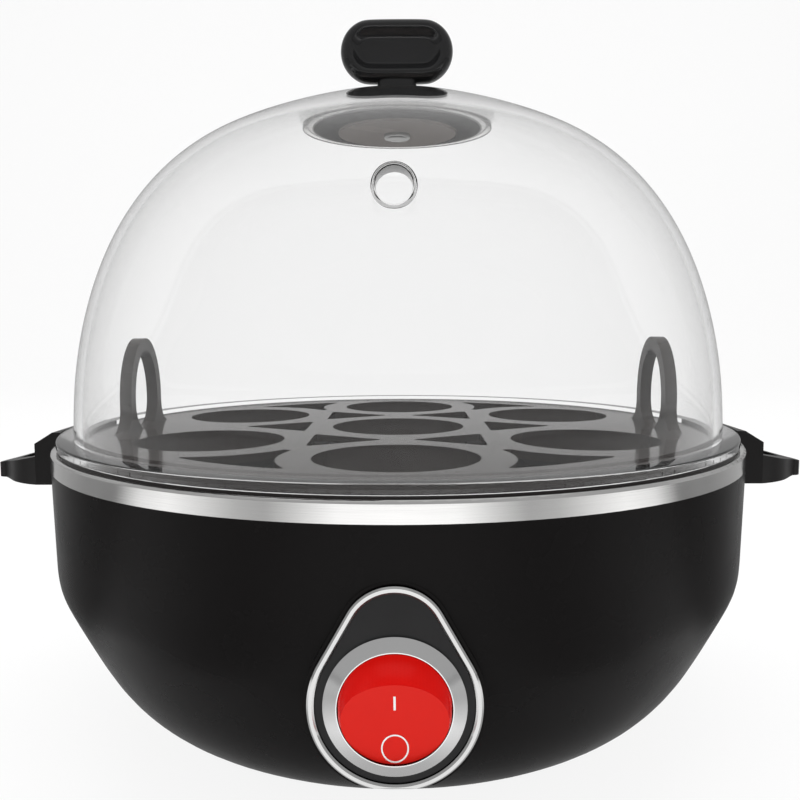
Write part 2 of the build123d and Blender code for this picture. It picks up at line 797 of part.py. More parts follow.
# Two blades: the common one behind the lever's pivot and the contact below it
with BuildPart() as switch_blades:
    for blade_front, height in ((lever_y + 0.7, chin_z), (lever_y + 2.9, chin_z - blade_gap)):
        with BuildSketch(Plane.XZ.offset(-body_back - blade_len)):
            with Locations((0, height)):
                Rectangle(blade_w, blade_t)
        extrude(amount=body_back + blade_len - blade_front)
    with BuildSketch(Plane.XZ.offset(-lever_y - 2.9)):
        with Locations((0, chin_z - blade_gap - blade_t / 2)):
            Rectangle(blade_w, blade_gap - lever_half_h + 2, align=(Align.CENTER, Align.MIN))
    extrude(amount=-blade_t)
    with BuildSketch(Plane.XZ.offset(-lever_y - 2.9)):
        with Locations((0, contact_z + 0.6)):
            Circle(1.1)
    extrude(amount=1.4)
switch_blades.part.label = "switch_blades"
export_step(switch_blades.part, "parts/switch_blades.step")

# Rocker, resting with its lower end pressed; local z points out of its face
rocker_plane = Plane(
    origin=(0, pivot_y, chin_z),
    x_dir=(1, 0, 0),
    z_dir=(0, -cos(radians(rocker_tilt)), -sin(radians(rocker_tilt))),
)
# Ball cut flat at both sides and behind, with a shallow cylinder taken out of its face
rocker_half_h = sqrt(rocker_r**2 - rocker_face**2)
with BuildPart() as rocker:
    with Locations((0, pivot_y, chin_z)):
        Sphere(rocker_r, rotation=(0, 90, 0))
    split(bisect_by=rocker_plane.offset(-rocker_back), keep=Keep.TOP)
    with BuildSketch(rocker_plane):
        Rectangle(2 * rocker_half_w, 3 * rocker_r)
    extrude(amount=2 * rocker_r, both=True, mode=Mode.INTERSECT)
    with BuildSketch(rocker_plane.offset(-rocker_face + 0.6)):
        Circle(plunger_r + slip + 1)
    extrude(amount=rocker_face)
    with BuildSketch(Plane(rocker_plane.origin, x_dir=rocker_plane.z_dir, z_dir=(1, 0, 0))):
        with Locations((rocker_face + sqrt(rocker_dish_r**2 - rocker_half_h**2), 0)):
            Circle(rocker_dish_r)
    extrude(amount=2 * rocker_half_w, both=True, mode=Mode.SUBTRACT)
    with BuildSketch(Plane.YZ):
        with Locations((pivot_y, chin_z)):
            Circle(pivot_pin_r)
    extrude(amount=switch_r - 0.2, both=True)
    with BuildSketch(rocker_plane.offset(-rocker_face)):
        Circle(plunger_r + slip)
    extrude(amount=rocker_face + 1.5, mode=Mode.SUBTRACT)
rocker.part.label = "rocker"
export_step(rocker.part, "parts/rocker.step")

# Spring plunger that the rocker carries
with BuildPart() as switch_plunger:
    with BuildSketch(rocker_plane.offset(1.2)):
        Circle(plunger_r)
    extrude(amount=-1.2 - plunger_reach)
    fillet(switch_plunger.edges().sort_by(Axis.Y)[-1], plunger_r * 0.6)
switch_plunger.part.label = "switch_plunger"
export_step(switch_plunger.part, "parts/switch_plunger.step")

# See-saw contact lever behind the rocker, with a rolled fulcrum
lever_plane = Plane(
    origin=(0, lever_y, chin_z),
    x_dir=(1, 0, 0),
    z_dir=(0, -cos(radians(lever_tilt)), sin(radians(lever_tilt))),
)
with BuildPart() as contact_lever:
    with BuildSketch(lever_plane):
        RectangleRounded(lever_w, 2 * lever_half_h, 0.8)
    extrude(amount=lever_t / 2, both=True)
    with BuildSketch(Plane.YZ):
        with Locations((lever_y, chin_z)):
            Circle(lever_roll_r)
    extrude(amount=lever_w / 2, both=True)
contact_lever.part.label = "contact_lever"
export_step(contact_lever.part, "parts/contact_lever.step")

# Leads: each is a tube along straight runs joined by tangent arcs, square to what it meets
blade_tip = body_back + blade_len
block_z = cover_top_z + block_h / 2
block_side = block_l / 2
pin_tip_z = coil_z - coil_tube_r - pin_len
stat_tip_z = stat_z - stat_blade_len
lead_low_z = pin_tip_z - lead_drop
lead_routes = {
    "lead_live": (
        (block_x - block_pitch, block_y - block_side, block_z),
        (block_x - block_pitch, block_y - block_side - 16, block_z),
        (-22, -14, lead_low_z),
        (0, blade_tip + 13, chin_z),
        (0, blade_tip, chin_z),
    ),
    "lead_switched": (
        (0, blade_tip, chin_z - blade_gap),
        (0, blade_tip + 13, chin_z - blade_gap),
        (6, -18, lead_low_z),
        (stat_blade_gap / 2, 0, lead_low_z),
        (stat_blade_gap / 2, 0, stat_tip_z),
    ),
    "lead_neutral": (
        (block_x + block_pitch, block_y + block_side, block_z),
        (block_x + block_pitch, block_y + block_side + 11, block_z),
        (block_x + block_pitch, block_y + block_side + 10, lead_low_z + 2),
        (coil_pin[0][0], coil_pin[0][1], lead_low_z + 2),
        (coil_pin[0][0], coil_pin[0][1], pin_tip_z),
    ),
    "lead_link": (
        (-stat_blade_gap / 2, 0, stat_tip_z),
        (-stat_blade_gap / 2, 0, lead_low_z),
        (coil_pin[1][0], coil_pin[1][1], lead_low_z),
        (coil_pin[1][0], coil_pin[1][1], pin_tip_z),
    ),
}
for name, route in lead_routes.items():
    with BuildPart() as lead:
        with BuildLine():
            path = FilletPolyline(*route, radius=lead_bend_r)
        with BuildSketch(Plane(path @ 0, z_dir=path % 0)):
            Circle(lead_r)
        sweep(path=path)
    lead.part.label = name
    export_step(lead.part, f"parts/{name}.step")
    print(name, round(lead.part.volume / (path.length * 3.14159 * lead_r**2), 4))

# Rounded seat for one egg, and the opening inside it
with BuildPart() as egg_seat:
    with BuildSketch(Plane.XZ):
        with BuildLine():
            seat_arc = ThreePointArc(
                (seat_r + seat_wall, tray_z),
                ((seat_r + seat_throat_r) / 2 + seat_wall + 0.9, tray_z - seat_depth / 2),
                (seat_throat_r + seat_wall, tray_z - seat_depth),
            )
            Polyline(seat_arc @ 1, (0, tray_z - seat_depth), (0, tray_z), seat_arc @ 0)
        make_face()
    revolve(axis=Axis.Z)

with BuildPart() as egg_opening:
    with BuildSketch(Plane.XZ):
        with BuildLine():
            opening_arc = ThreePointArc(
                (seat_r, tray_z),
                ((seat_r + seat_throat_r) / 2 + 0.9, tray_z - seat_depth / 2),
                (seat_throat_r, tray_z - seat_depth),
            )
            Polyline(opening_arc @ 1, (0, tray_z - seat_depth), (0, tray_z), opening_arc @ 0)
        make_face()
    revolve(axis=Axis.Z)

# Egg tray: skirted plate, seven seats, curved steam slots and two arch handles
with BuildPart() as egg_tray:
    with BuildSketch(Plane.XY.offset(tray_z - tray_t)):
        Circle(tray_r)
    extrude(amount=tray_t)
    fillet(egg_tray.faces().sort_by(Axis.Z)[-1].edges(), 0.8)
    with BuildSketch(Plane.XY.offset(ledge_z + slip)):
        Circle(tray_r)
        Circle(tray_r - tray_skirt_t, mode=Mode.SUBTRACT)
    extrude(amount=tray_z - tray_t - ledge_z - slip)
    add(egg_seat.part)
    with PolarLocations(seat_ring_r, seat_count, start_angle=30):
        add(egg_seat.part)
    add(egg_opening.part, mode=Mode.SUBTRACT)
    with PolarLocations(seat_ring_r, seat_count, start_angle=30):
        add(egg_opening.part, mode=Mode.SUBTRACT)
    # Outer slots between neighbouring seats and the rim, none under the handles
    with BuildSketch(Plane.XY.offset(tray_z - tray_t)) as outer_slots:
        for first in (60, 240):
            with PolarLocations(outer_slot_r, 2, start_angle=first, angular_range=60, endpoint=True):
                Rectangle(outer_slot_depth, seat_ring_r, align=(Align.MAX, Align.CENTER))
        Circle(outer_slot_r, mode=Mode.INTERSECT)
        with PolarLocations(seat_ring_r, seat_count, start_angle=30):
            Circle(seat_r + outer_slot_gap, mode=Mode.SUBTRACT)
        fillet(outer_slots.vertices(), slot_round)
    extrude(amount=tray_t, mode=Mode.SUBTRACT)
    # Inner slots in the middle of each group of three seats
    with BuildSketch(Plane.XY.offset(tray_z - tray_t)) as inner_slots:
        with PolarLocations(seat_ring_r / sqrt(3), seat_count):
            RegularPolygon(inner_slot_corner, 3)
        Circle(seat_r + inner_slot_gap, mode=Mode.SUBTRACT)
        with PolarLocations(seat_ring_r, seat_count, start_angle=30):
            Circle(seat_r + inner_slot_gap, mode=Mode.SUBTRACT)
        fillet(inner_slots.vertices(), slot_round)
    extrude(amount=tray_t, mode=Mode.SUBTRACT)
    # Arch handles with flared feet
    for facing in (1, -1):
        with BuildSketch(Plane.YZ.offset(facing * arch_x)) as arch:
            with BuildLine():
                arch_rise = arch_top_z - arch_shoulder_z
                EllipticalCenterArc((0, arch_shoulder_z), arch_half_w, arch_rise, arc_size=180)
                Polyline(
                    (-arch_half_w, arch_shoulder_z), (-arch_half_w, tray_z - tray_t / 2),
                    (arch_half_w, tray_z - tray_t / 2), (arch_half_w, arch_shoulder_z),
                )
            make_face()
            with Locations((0, tray_z)):
                Rectangle(2.2 * (arch_half_w + arch_flare), tray_t / 2, align=(Align.CENTER, Align.MAX))
            with BuildLine():
                finger_w = arch_half_w - arch_leg_w
                finger_rise = arch_top_z - arch_shoulder_z - arch_leg_w
                EllipticalCenterArc((0, arch_shoulder_z), finger_w, finger_rise, arc_size=180)
                Polyline(
                    (-finger_w, arch_shoulder_z), (-finger_w, tray_z),
                    (finger_w, tray_z), (finger_w, arch_shoulder_z),
                )
            make_face(mode=Mode.SUBTRACT)
            for half_w, radius in ((arch_half_w, arch_flare), (finger_w, arch_root)):
                corners = [v for v in arch.vertices() if abs(v.Y - tray_z) < 0.01]
                fillet([v for v in corners if abs(abs(v.X) - half_w) < 0.01], radius)
        extrude(amount=arch_t / 2, both=True)
egg_tray.part.label = "egg_tray"
export_step(egg_tray.part, "parts/egg_tray.step")

# Outer form of the dome
with BuildPart() as lid_envelope:
    with BuildSketch(Plane.XZ) as lid_section:
        with BuildLine():
            dome_side = Spline(
                (lid_foot_r, lid_z + lid_flange_t),
                *[(lid_foot_r - off, lid_z + up) for off, up in lid_stations],
                (0, crown_z),
                tangents=[(-0.03, 1), (-1, 0)],
            )
            Polyline((0, crown_z), (0, lid_z), (lid_foot_r, lid_z), (lid_foot_r, lid_z + lid_flange_t))
        make_face()
    revolve(axis=Axis.Z)

# Space inside the dome: its side moved in along its normals by the wall
with BuildPart() as lid_space:
    with BuildSketch(Plane.XZ):
        with BuildLine():
            inner_points = []
            for step in range(13):
                at = dome_side @ (step / 12)
                along = dome_side % (step / 12)
                inner_points.append((at.X - lid_wall * along.Y, at.Y + lid_wall * along.X))
            inner_side = Spline(*inner_points, tangents=[dome_side % 0, dome_side % 1])
            Polyline(inner_side @ 1, (0, lid_z - 1), ((inner_side @ 0).X, lid_z - 1), inner_side @ 0)
        make_face()
    revolve(axis=Axis.Z)

# Clear lid: dome with its flange, steam vent and the hole for the knob's screw
with BuildPart() as lid_dome:
    add(lid_envelope.part)
    with BuildSketch(Plane.XY.offset(lid_z)):
        Circle(lid_flange_r)
    extrude(amount=lid_flange_t)
    flange_side = lid_dome.faces().filter_by(GeomType.CYLINDER).sort_by(SortBy.AREA)[-1]
    fillet(flange_side.edges(), lid_flange_t / 4)
    with BuildSketch(Plane.XZ.offset(vent_face)):
        with Locations((0, vent_z)):
            Circle(vent_rim_r)
    extrude(amount=-lid_foot_r / 4)
    add(lid_space.part, mode=Mode.SUBTRACT)
    with BuildSketch(Plane.XZ.offset(vent_face)):
        with Locations((0, vent_z)):
            Circle(vent_r)
    extrude(amount=-lid_foot_r / 4, mode=Mode.SUBTRACT)
    with BuildSketch(Plane.XY.offset(crown_z - 3 * lid_wall)):
        Circle(knob_screw_r + slip)
    extrude(amount=4 * lid_wall, mode=Mode.SUBTRACT)
lid_dome.part.label = "lid_dome"
export_step(lid_dome.part, "parts/lid_dome.step")

# Knob: oblong pad dished on both faces, on a neck with an oval foot that follows the crown
with BuildPart() as lid_knob:
    with BuildSketch(Plane.XZ.offset(knob_t / 2)):
        with Locations((0, knob_z)):
            RectangleRounded(knob_w, knob_h, knob_h / 2 - 0.01)
    extrude(amount=-knob_t)
    fillet(lid_knob.faces().filter_by(Axis.Y).edges(), knob_round)
    for facing in (1, -1):
        with BuildSketch(Plane.XZ.offset(facing * knob_t / 2)):
            with Locations((0, knob_z)):
                RectangleRounded(knob_dish_w, knob_dish_h, knob_dish_h / 2 - 0.01)
        extrude(amount=-facing * knob_dish_depth, mode=Mode.SUBTRACT)
    floors = [f for f in lid_knob.faces().filter_by(Axis.Y) if abs(f.center().Y) < knob_t / 2 - slip]
    fillet([e for floor in floors for e in floor.edges()], knob_dish_depth - knob_dish_lip)
    with BuildSketch(Plane.XY.offset(crown_z + knob_foot_h / 2)):
        RectangleRounded(neck_w, neck_t, neck_t / 3)
    extrude(amount=neck_h + knob_h / 4)
    with BuildSketch(Plane.XY.offset(crown_z - knob_foot_h)):
        Ellipse(knob_foot_w / 2, knob_foot_t / 2)
    extrude(amount=2 * knob_foot_h)
    add(lid_envelope.part, mode=Mode.SUBTRACT)
    with BuildSketch(Plane.XY.offset(crown_z - knob_foot_h)):
        Circle(knob_screw_r)
    extrude(amount=knob_screw_len, mode=Mode.SUBTRACT)
lid_knob.part.label = "lid_knob"
export_step(lid_knob.part, "parts/lid_knob.step")

# Smoked cap under the crown that the knob's screw draws up
with BuildPart() as crown_cap:
    with BuildSketch(Plane.XZ):
        with BuildLine():
            Polyline(
                (knob_screw_r + slip, crown_z),
                (knob_screw_r + slip, cap_floor_z),
                (cap_floor_r, cap_floor_z),
                (cap_floor_r, cap_floor_z + cap_step_h),
                (cap_step_r, cap_floor_z + cap_step_h),
                (cap_r - cap_ring_w, cap_ring_z),
                (cap_r, cap_ring_z),
                (cap_r, crown_z),
                (cap_r - cap_t, crown_z),
                (cap_r - cap_t, cap_ring_z + cap_t),
                (cap_r - cap_ring_w - cap_t / 2, cap_ring_z + cap_t),
                (cap_step_r - cap_t / 2, cap_floor_z + cap_step_h + cap_t),
                (cap_floor_r - cap_t, cap_floor_z + cap_step_h + cap_t),
                (cap_floor_r - cap_t, cap_floor_z + cap_t),
                (knob_screw_head_r + cap_t, cap_floor_z + cap_t),
                (knob_screw_head_r + cap_t, crown_z),
                (knob_screw_r + slip, crown_z),
            )
        make_face()
    revolve(axis=Axis.Z)
    add(lid_space.part, mode=Mode.INTERSECT)
crown_cap.part.label = "crown_cap"
export_step(crown_cap.part, "parts/crown_cap.step")

# Screw from the cap into the knob
with BuildPart() as knob_screw:
    with BuildSketch(Plane.XY.offset(cap_floor_z - knob_screw_head_h)):
        Circle(knob_screw_head_r)
    extrude(amount=knob_screw_head_h)
    fillet(knob_screw.faces().sort_by(Axis.Z)[0].edges(), knob_screw_head_h / 2)
    with BuildSketch(Plane.XY.offset(cap_floor_z)):
        Circle(knob_screw_r)
    extrude(amount=knob_screw_len)
knob_screw.part.label = "knob_screw"
export_step(knob_screw.part, "parts/knob_screw.step")
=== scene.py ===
import math
import bmesh
import bpy
import numpy as np
from mathutils import Matrix


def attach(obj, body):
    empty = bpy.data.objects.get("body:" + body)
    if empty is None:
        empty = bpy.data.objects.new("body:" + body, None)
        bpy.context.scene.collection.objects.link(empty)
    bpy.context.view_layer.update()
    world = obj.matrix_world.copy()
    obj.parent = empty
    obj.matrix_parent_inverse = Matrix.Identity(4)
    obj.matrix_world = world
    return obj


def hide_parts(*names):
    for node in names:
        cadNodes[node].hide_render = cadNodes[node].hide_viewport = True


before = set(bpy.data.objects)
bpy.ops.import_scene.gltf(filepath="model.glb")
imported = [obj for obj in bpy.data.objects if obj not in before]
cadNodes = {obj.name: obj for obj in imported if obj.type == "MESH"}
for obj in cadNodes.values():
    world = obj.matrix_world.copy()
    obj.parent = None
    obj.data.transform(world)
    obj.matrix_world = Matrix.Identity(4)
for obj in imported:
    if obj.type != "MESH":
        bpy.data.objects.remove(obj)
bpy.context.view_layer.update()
print("frame loaded with", len(cadNodes), "nodes")


def startFinish(name):
    # a material with one surface shader on its output
    finish = bpy.data.materials.new(name)
    finish.use_nodes = True
    tree = finish.node_tree
    tree.nodes.clear()
    surface = tree.nodes.new("ShaderNodeBsdfPrincipled")
    output = tree.nodes.new("ShaderNodeOutputMaterial")
    tree.links.new(surface.outputs["BSDF"], output.inputs["Surface"])
    return finish, tree, surface, output


def pickShader(tree, share, usual, other, output):
    # one shader where the share is 0, the other where it is 1
    either = tree.nodes.new("ShaderNodeMixShader")
    tree.links.new(share, either.inputs["Fac"])
    tree.links.new(usual, either.inputs[1])
    tree.links.new(other, either.inputs[2])
    tree.links.new(either.outputs["Shader"], output.inputs["Surface"])


def grainNoise(tree, scale, detail, stretch=(1, 1, 1)):
    # noise on object coordinates, stretched per axis
    place = tree.nodes.new("ShaderNodeTexCoord")
    mapping = tree.nodes.new("ShaderNodeMapping")
    mapping.inputs["Scale"].default_value = stretch
    noise = tree.nodes.new("ShaderNodeTexNoise")
    noise.inputs["Scale"].default_value = scale
    noise.inputs["Detail"].default_value = detail
    tree.links.new(place.outputs["Object"], mapping.inputs["Vector"])
    tree.links.new(mapping.outputs["Vector"], noise.inputs["Vector"])
    return noise.outputs["Fac"]


def spread(tree, source, low, high, fromLow=0.3, fromHigh=0.7):
    # a value carried from one reach to another; noise lies mostly within the usual one
    reach = tree.nodes.new("ShaderNodeMapRange")
    reach.inputs["From Min"].default_value = fromLow
    reach.inputs["From Max"].default_value = fromHigh
    reach.inputs["To Min"].default_value = low
    reach.inputs["To Max"].default_value = high
    tree.links.new(source, reach.inputs["Value"])
    return reach.outputs["Result"]


def rampOf(tree, source, stops):
    # colour or grey picked by a value from 0 to 1
    ramp = tree.nodes.new("ShaderNodeValToRGB")
    elements = ramp.color_ramp.elements
    elements.remove(elements[1])
    elements[0].position = stops[0][0]
    for n, (at, tint) in enumerate(stops):
        element = elements.new(at) if n else elements[0]
        element.color = (*tint, 1) if isinstance(tint, tuple) else (tint, tint, tint, 1)
    tree.links.new(source, ramp.inputs["Fac"])
    return ramp.outputs["Color"]


def farFrom(tree, zone):
    # distance from a point, or from a line where an axis isn't kept, as a share of the zone's reach
    place = tree.nodes.new("ShaderNodeTexCoord")
    source = place.outputs["Object"]
    for operation, value in (("SUBTRACT", zone["centre"]), ("MULTIPLY", zone["keep"])):
        step = tree.nodes.new("ShaderNodeVectorMath")
        step.operation = operation
        step.inputs[1].default_value = value
        tree.links.new(source, step.inputs[0])
        source = step.outputs["Vector"]
    length = tree.nodes.new("ShaderNodeVectorMath")
    length.operation = "LENGTH"
    tree.links.new(source, length.inputs[0])
    return spread(tree, length.outputs["Value"], 0, 1, 0, zone["reach"])


# what a finish has unless its own settings say otherwise
usualFinish = {"broadScale": 40, "broadDetail": 3, "broadStretch": (1, 1, 1), "shade": 0.85, "glossScale": 90,
               "glossDetail": 5, "glossStretch": (1, 1, 1), "glossSpread": 0.15, "bump": 0.2, "bumpDepth": 0.00005,
               "grainScale": 2500, "grainDetail": 2, "grainStretch": (1, 1, 1), "sockets": {}}


def makeFinish(name, settings):
    # one surface: two near tints over a broad noise, uneven gloss, fine grain as bump
    s = {**usualFinish, **settings}
    finish, tree, surface, output = startFinish(name)
    blend = tree.nodes.new("ShaderNodeMix")
    blend.data_type = "RGBA"
    blend.inputs["A"].default_value = (*s["tint"], 1)
    blend.inputs["B"].default_value = (*s.get("tintB", [c * s["shade"] for c in s["tint"]]), 1)
    broad = grainNoise(tree, s["broadScale"], s["broadDetail"], s["broadStretch"])
    tree.links.new(broad, blend.inputs["Factor"])
    tint = blend.outputs["Result"]
    # the second tint is painted shade: on the rocker it turns the rounded top past the face a darker, deeper red
    if "zone" in s:  # a second tint beyond a distance from the zone's centre
        zone = s["zone"]
        outer = tree.nodes.new("ShaderNodeMix")
        outer.data_type = "RGBA"
        outer.inputs["B"].default_value = (*zone["tint"], 1)
        tree.links.new(tint, outer.inputs["A"])
        past = rampOf(tree, farFrom(tree, zone), [(zone["edge"] - zone["blend"], 0.0), (zone["edge"], 1.0)])
        tree.links.new(past, outer.inputs["Factor"])
        tint = outer.outputs["Result"]
    tree.links.new(tint, surface.inputs["Base Color"])
    uneven = grainNoise(tree, s["glossScale"], s["glossDetail"], s["glossStretch"])
    gloss = spread(tree, uneven, s["rough"] * (1 - s["glossSpread"]), s["rough"] * (1 + s["glossSpread"]))
    tree.links.new(gloss, surface.inputs["Roughness"])
    bump = tree.nodes.new("ShaderNodeBump")
    bump.inputs["Strength"].default_value = s["bump"]
    bump.inputs["Distance"].default_value = s["bumpDepth"]
    fine = grainNoise(tree, s["grainScale"], s["grainDetail"], s["grainStretch"])
    tree.links.new(fine, bump.inputs["Height"])
    tree.links.new(bump.outputs["Normal"], surface.inputs["Normal"])
    for socket, value in s["sockets"].items():
        surface.inputs[socket].default_value = value
    return finish


metal = {"Metallic": 1.0}
finishSettings = {
    "housingBlack": {"tint": (0.0075, 0.0068, 0.0068), "tintB": (0.0055, 0.005, 0.005), "rough": 0.26, "bump": 0.05,
                     "grainScale": 3500, "sockets": {"Specular IOR Level": 0.06}},
    "earBlack": {"tint": (0.008, 0.0072, 0.0072), "rough": 0.34, "bump": 0.12, "grainScale": 3000,
                 "sockets": {"Specular IOR Level": 0.28}},
    "coverBlack": {"tint": (0.018, 0.018, 0.018), "rough": 0.6, "bump": 0.5, "grainScale": 1800},
    "footRubber": {"tint": (0.016, 0.016, 0.016), "rough": 0.8, "bump": 0.5, "grainScale": 900},
    "screwSteel": {"tint": (0.5, 0.5, 0.49), "rough": 0.3, "bump": 0.2, "sockets": metal},
    "bandSteel": {"tint": (0.93, 0.925, 0.915), "tintB": (0.88, 0.875, 0.865), "rough": 0.13, "bump": 0.1,
                  "broadStretch": (1, 1, 40), "grainScale": 60, "grainStretch": (1, 1, 60),
                  "glossStretch": (1, 1, 60), "sockets": metal},
    "deckBlack": {"tint": (0.012, 0.0095, 0.009), "rough": 0.22, "bump": 0.08},
    "sealRubber": {"tint": (0.25, 0.24, 0.22), "rough": 0.7, "bump": 0.3},
    "dishCoat": {"tint": (0.02, 0.019, 0.019), "tintB": (0.035, 0.033, 0.032), "rough": 0.4, "bump": 0.3,
                 "glossScale": 60, "grainScale": 700},
    "coilSteel": {"tint": (0.16, 0.15, 0.145), "rough": 0.5, "bump": 0.3, "sockets": metal},
    "statMetal": {"tint": (0.55, 0.55, 0.55), "rough": 0.35, "bump": 0.15, "sockets": metal},
    "fuseSleeve": {"tint": (0.6, 0.57, 0.5), "rough": 0.8, "bump": 0.6, "grainScale": 1500,
                   "grainStretch": (1, 3, 3)},
    "blockWhite": {"tint": (0.62, 0.62, 0.6), "rough": 0.45, "bump": 0.15},
    "glandBlack": {"tint": (0.014, 0.014, 0.014), "rough": 0.6, "bump": 0.35, "grainScale": 1400},
    "panelBlack": {"tint": (0.009, 0.009, 0.0095), "rough": 0.4, "bump": 0.2, "grainScale": 3200,
                   "sockets": {"Specular IOR Level": 0.3}},
    "trimChrome": {"tint": (0.78, 0.78, 0.775), "rough": 0.12, "bump": 0.05, "sockets": metal},
    "bezelChrome": {"tint": (1.0, 1.0, 1.0), "rough": 0.16, "bump": 0.12, "grainScale": 900, "sockets": metal},
    "switchBlack": {"tint": (0.01, 0.01, 0.01), "rough": 0.45, "bump": 0.2},
    "contactBrass": {"tint": (0.6, 0.42, 0.16), "rough": 0.3, "bump": 0.15, "sockets": metal},
    "rockerRed": {"tint": (0.66, 0.018, 0.012), "tintB": (0.62, 0.015, 0.01), "rough": 0.2, "bump": 0.05,
                  "grainScale": 2800, "sockets": {"Specular IOR Level": 0.08},
                  # zone: painted shade, the rounded top past the face in a darker, deeper red than the face
                  "zone": {"centre": (0.0, -0.0772, 0.0317), "keep": (1, 1, 1), "reach": 0.011, "edge": 0.855,
                           "blend": 0.004, "tint": (0.5, 0.0, 0.0)}},
    "plungerWhite": {"tint": (0.6, 0.6, 0.6), "rough": 0.4, "bump": 0.1},
    "leadBrown": {"tint": (0.11, 0.045, 0.02), "rough": 0.45, "bump": 0.15},
    "leadBlue": {"tint": (0.02, 0.07, 0.33), "rough": 0.45, "bump": 0.15},
    "leadWhite": {"tint": (0.6, 0.6, 0.58), "rough": 0.45, "bump": 0.15},
    "trayBlack": {"tint": (0.017, 0.0125, 0.0108), "tintB": (0.012, 0.009, 0.0078), "rough": 0.12, "bump": 0.04,
                  "sockets": {"Specular IOR Level": 0.15}},
    "knobBlack": {"tint": (0.012, 0.012, 0.0125), "rough": 0.1, "bump": 0.03},
}

nodeFinish = {
    "base_housing": "housingBlack", "bottom_cover": "coverBlack", "feet": "footRubber", "cover_screws": "screwSteel",
    "trim_band": "bandSteel", "top_deck": "deckBlack", "dish_gasket": "sealRubber", "heating_dish": "dishCoat",
    "dish_nuts": "screwSteel", "heating_coil": "coilSteel", "thermostat": "statMetal",
    "thermostat_strap": "screwSteel", "thermal_fuse": "fuseSleeve", "terminal_block": "blockWhite",
    "cord_gland": "glandBlack",
    "right_ear": "earBlack", "left_ear": "earBlack", "ear_screws": "screwSteel", "switch_panel": "panelBlack",
    "panel_trim": "trimChrome", "switch_bezel": "bezelChrome", "switch_body": "switchBlack",
    "switch_blades": "contactBrass", "rocker": "rockerRed", "switch_plunger": "plungerWhite",
    "contact_lever": "contactBrass", "lead_live": "leadBrown", "lead_switched": "leadBrown",
    "lead_neutral": "leadBlue", "lead_link": "leadWhite", "egg_tray": "trayBlack", "lid_knob": "knobBlack",
    "knob_screw": "screwSteel",
}
finishes = {name: makeFinish(name, s) for name, s in finishSettings.items()}

clearGrain = {"scale": 30, "detail": 4, "spread": 0.5}


def clearFinish(name, s):
    # clear moulding: refracts, lets lamp light through, uneven in gloss, in rings of tint where it has stops; on the
    # crown cap the cone's rings are painted shade
    finish, tree, surface, output = startFinish(name)
    surface.inputs["Base Color"].default_value = (*s["tint"], 1)
    if "stops" in s:
        tree.links.new(rampOf(tree, farFrom(tree, s), s["stops"]), surface.inputs["Base Color"])
    surface.inputs["IOR"].default_value = s["ior"]
    surface.inputs["Transmission Weight"].default_value = 1.0
    if "clearFrom" in s:  # cloudy inside this share of the reach
        stops = [(s["clearFrom"] - s["clearBlend"], s["cloudy"]), (s["clearFrom"], 1.0)]
        clear = rampOf(tree, farFrom(tree, s), stops)
        tree.links.new(clear, surface.inputs["Transmission Weight"])
        tree.links.new(spread(tree, clear, s["cloudyIor"], s["ior"], s["cloudy"], 1.0), surface.inputs["IOR"])
    uneven = grainNoise(tree, clearGrain["scale"], clearGrain["detail"])
    gloss = spread(tree, uneven, s["rough"] * (1 - clearGrain["spread"]), s["rough"] * (1 + clearGrain["spread"]))
    tree.links.new(gloss, surface.inputs["Roughness"])
    through = tree.nodes.new("ShaderNodeBsdfTransparent")
    through.inputs["Color"].default_value = (*s["shadowTint"], 1)
    path = tree.nodes.new("ShaderNodeLightPath")
    pickShader(tree, path.outputs["Is Shadow Ray"], surface.outputs["BSDF"], through.outputs["BSDF"], output)
    return finish


clearSettings = {
    "lidClear": {"tint": (0.998, 0.998, 0.998), "ior": 1.49, "rough": 0.004, "shadowTint": (0.95, 0.95, 0.95)},
    "capSmoke": {"tint": (0.16, 0.135, 0.125), "ior": 1.45, "rough": 0.25, "shadowTint": (0.5, 0.45, 0.4),
                 "centre": (0, 0, 0), "keep": (1, 1, 0), "reach": 0.025, "clearFrom": 0.81, "clearBlend": 0.01,
                 "cloudy": 0.12, "cloudyIor": 1.01,
                 # rings out from the axis: a pale brown-grey disc, then the cone as painted shade, darkest just past
                 # the disc and paler outwards, then a clear ring
                 "stops": [(0.55, (0.40, 0.35, 0.325)), (0.57, (0.03, 0.027, 0.025)), (0.63, (0.015, 0.013, 0.012)),
                           (0.70, (0.03, 0.027, 0.025)), (0.79, (0.06, 0.057, 0.055)), (0.81, (0.9, 0.89, 0.88))]},
}
finishes.update({name: clearFinish(name, s) for name, s in clearSettings.items()})
nodeFinish.update({"lid_dome": "lidClear", "crown_cap": "capSmoke"})

for nodeName, finishName in nodeFinish.items():
    mesh = cadNodes[nodeName].data
    mesh.materials.clear()
    mesh.materials.append(finishes[finishName])
print("finishes on", len(nodeFinish), "nodes")

markStyle = {"tiltDeg": 18.5, "pivot": (0.0, -0.0772, 0.0317), "face": 0.0051, "halfHeight": 0.007896,
             "dishRadius": 0.046, "lift": 0.00003, "barHeight": 0.00295, "barWidth": 0.00035,
             "barUp": 0.00395, "ringUp": -0.0050, "ringRadius": 0.00203, "ringStretch": 1.22, "ringWidth": 0.00024,
             "barRows": 9, "acrossRows": 3, "ringSteps": 72}


def onRockerFace(across, up):
    # a point across and up the rocker's dished face at rest, just proud of it: an arc tilted about the pivot
    tilt = math.radians(markStyle["tiltDeg"])
    r, h = markStyle["dishRadius"], markStyle["halfHeight"]
    out = markStyle["face"] + math.sqrt(r * r - h * h) - np.sqrt(r * r - up * up) + markStyle["lift"]
    y = markStyle["pivot"][1] - out * math.cos(tilt) - up * math.sin(tilt)
    z = markStyle["pivot"][2] - out * math.sin(tilt) + up * math.cos(tilt)
    return np.stack([across, y, z], axis=-1)


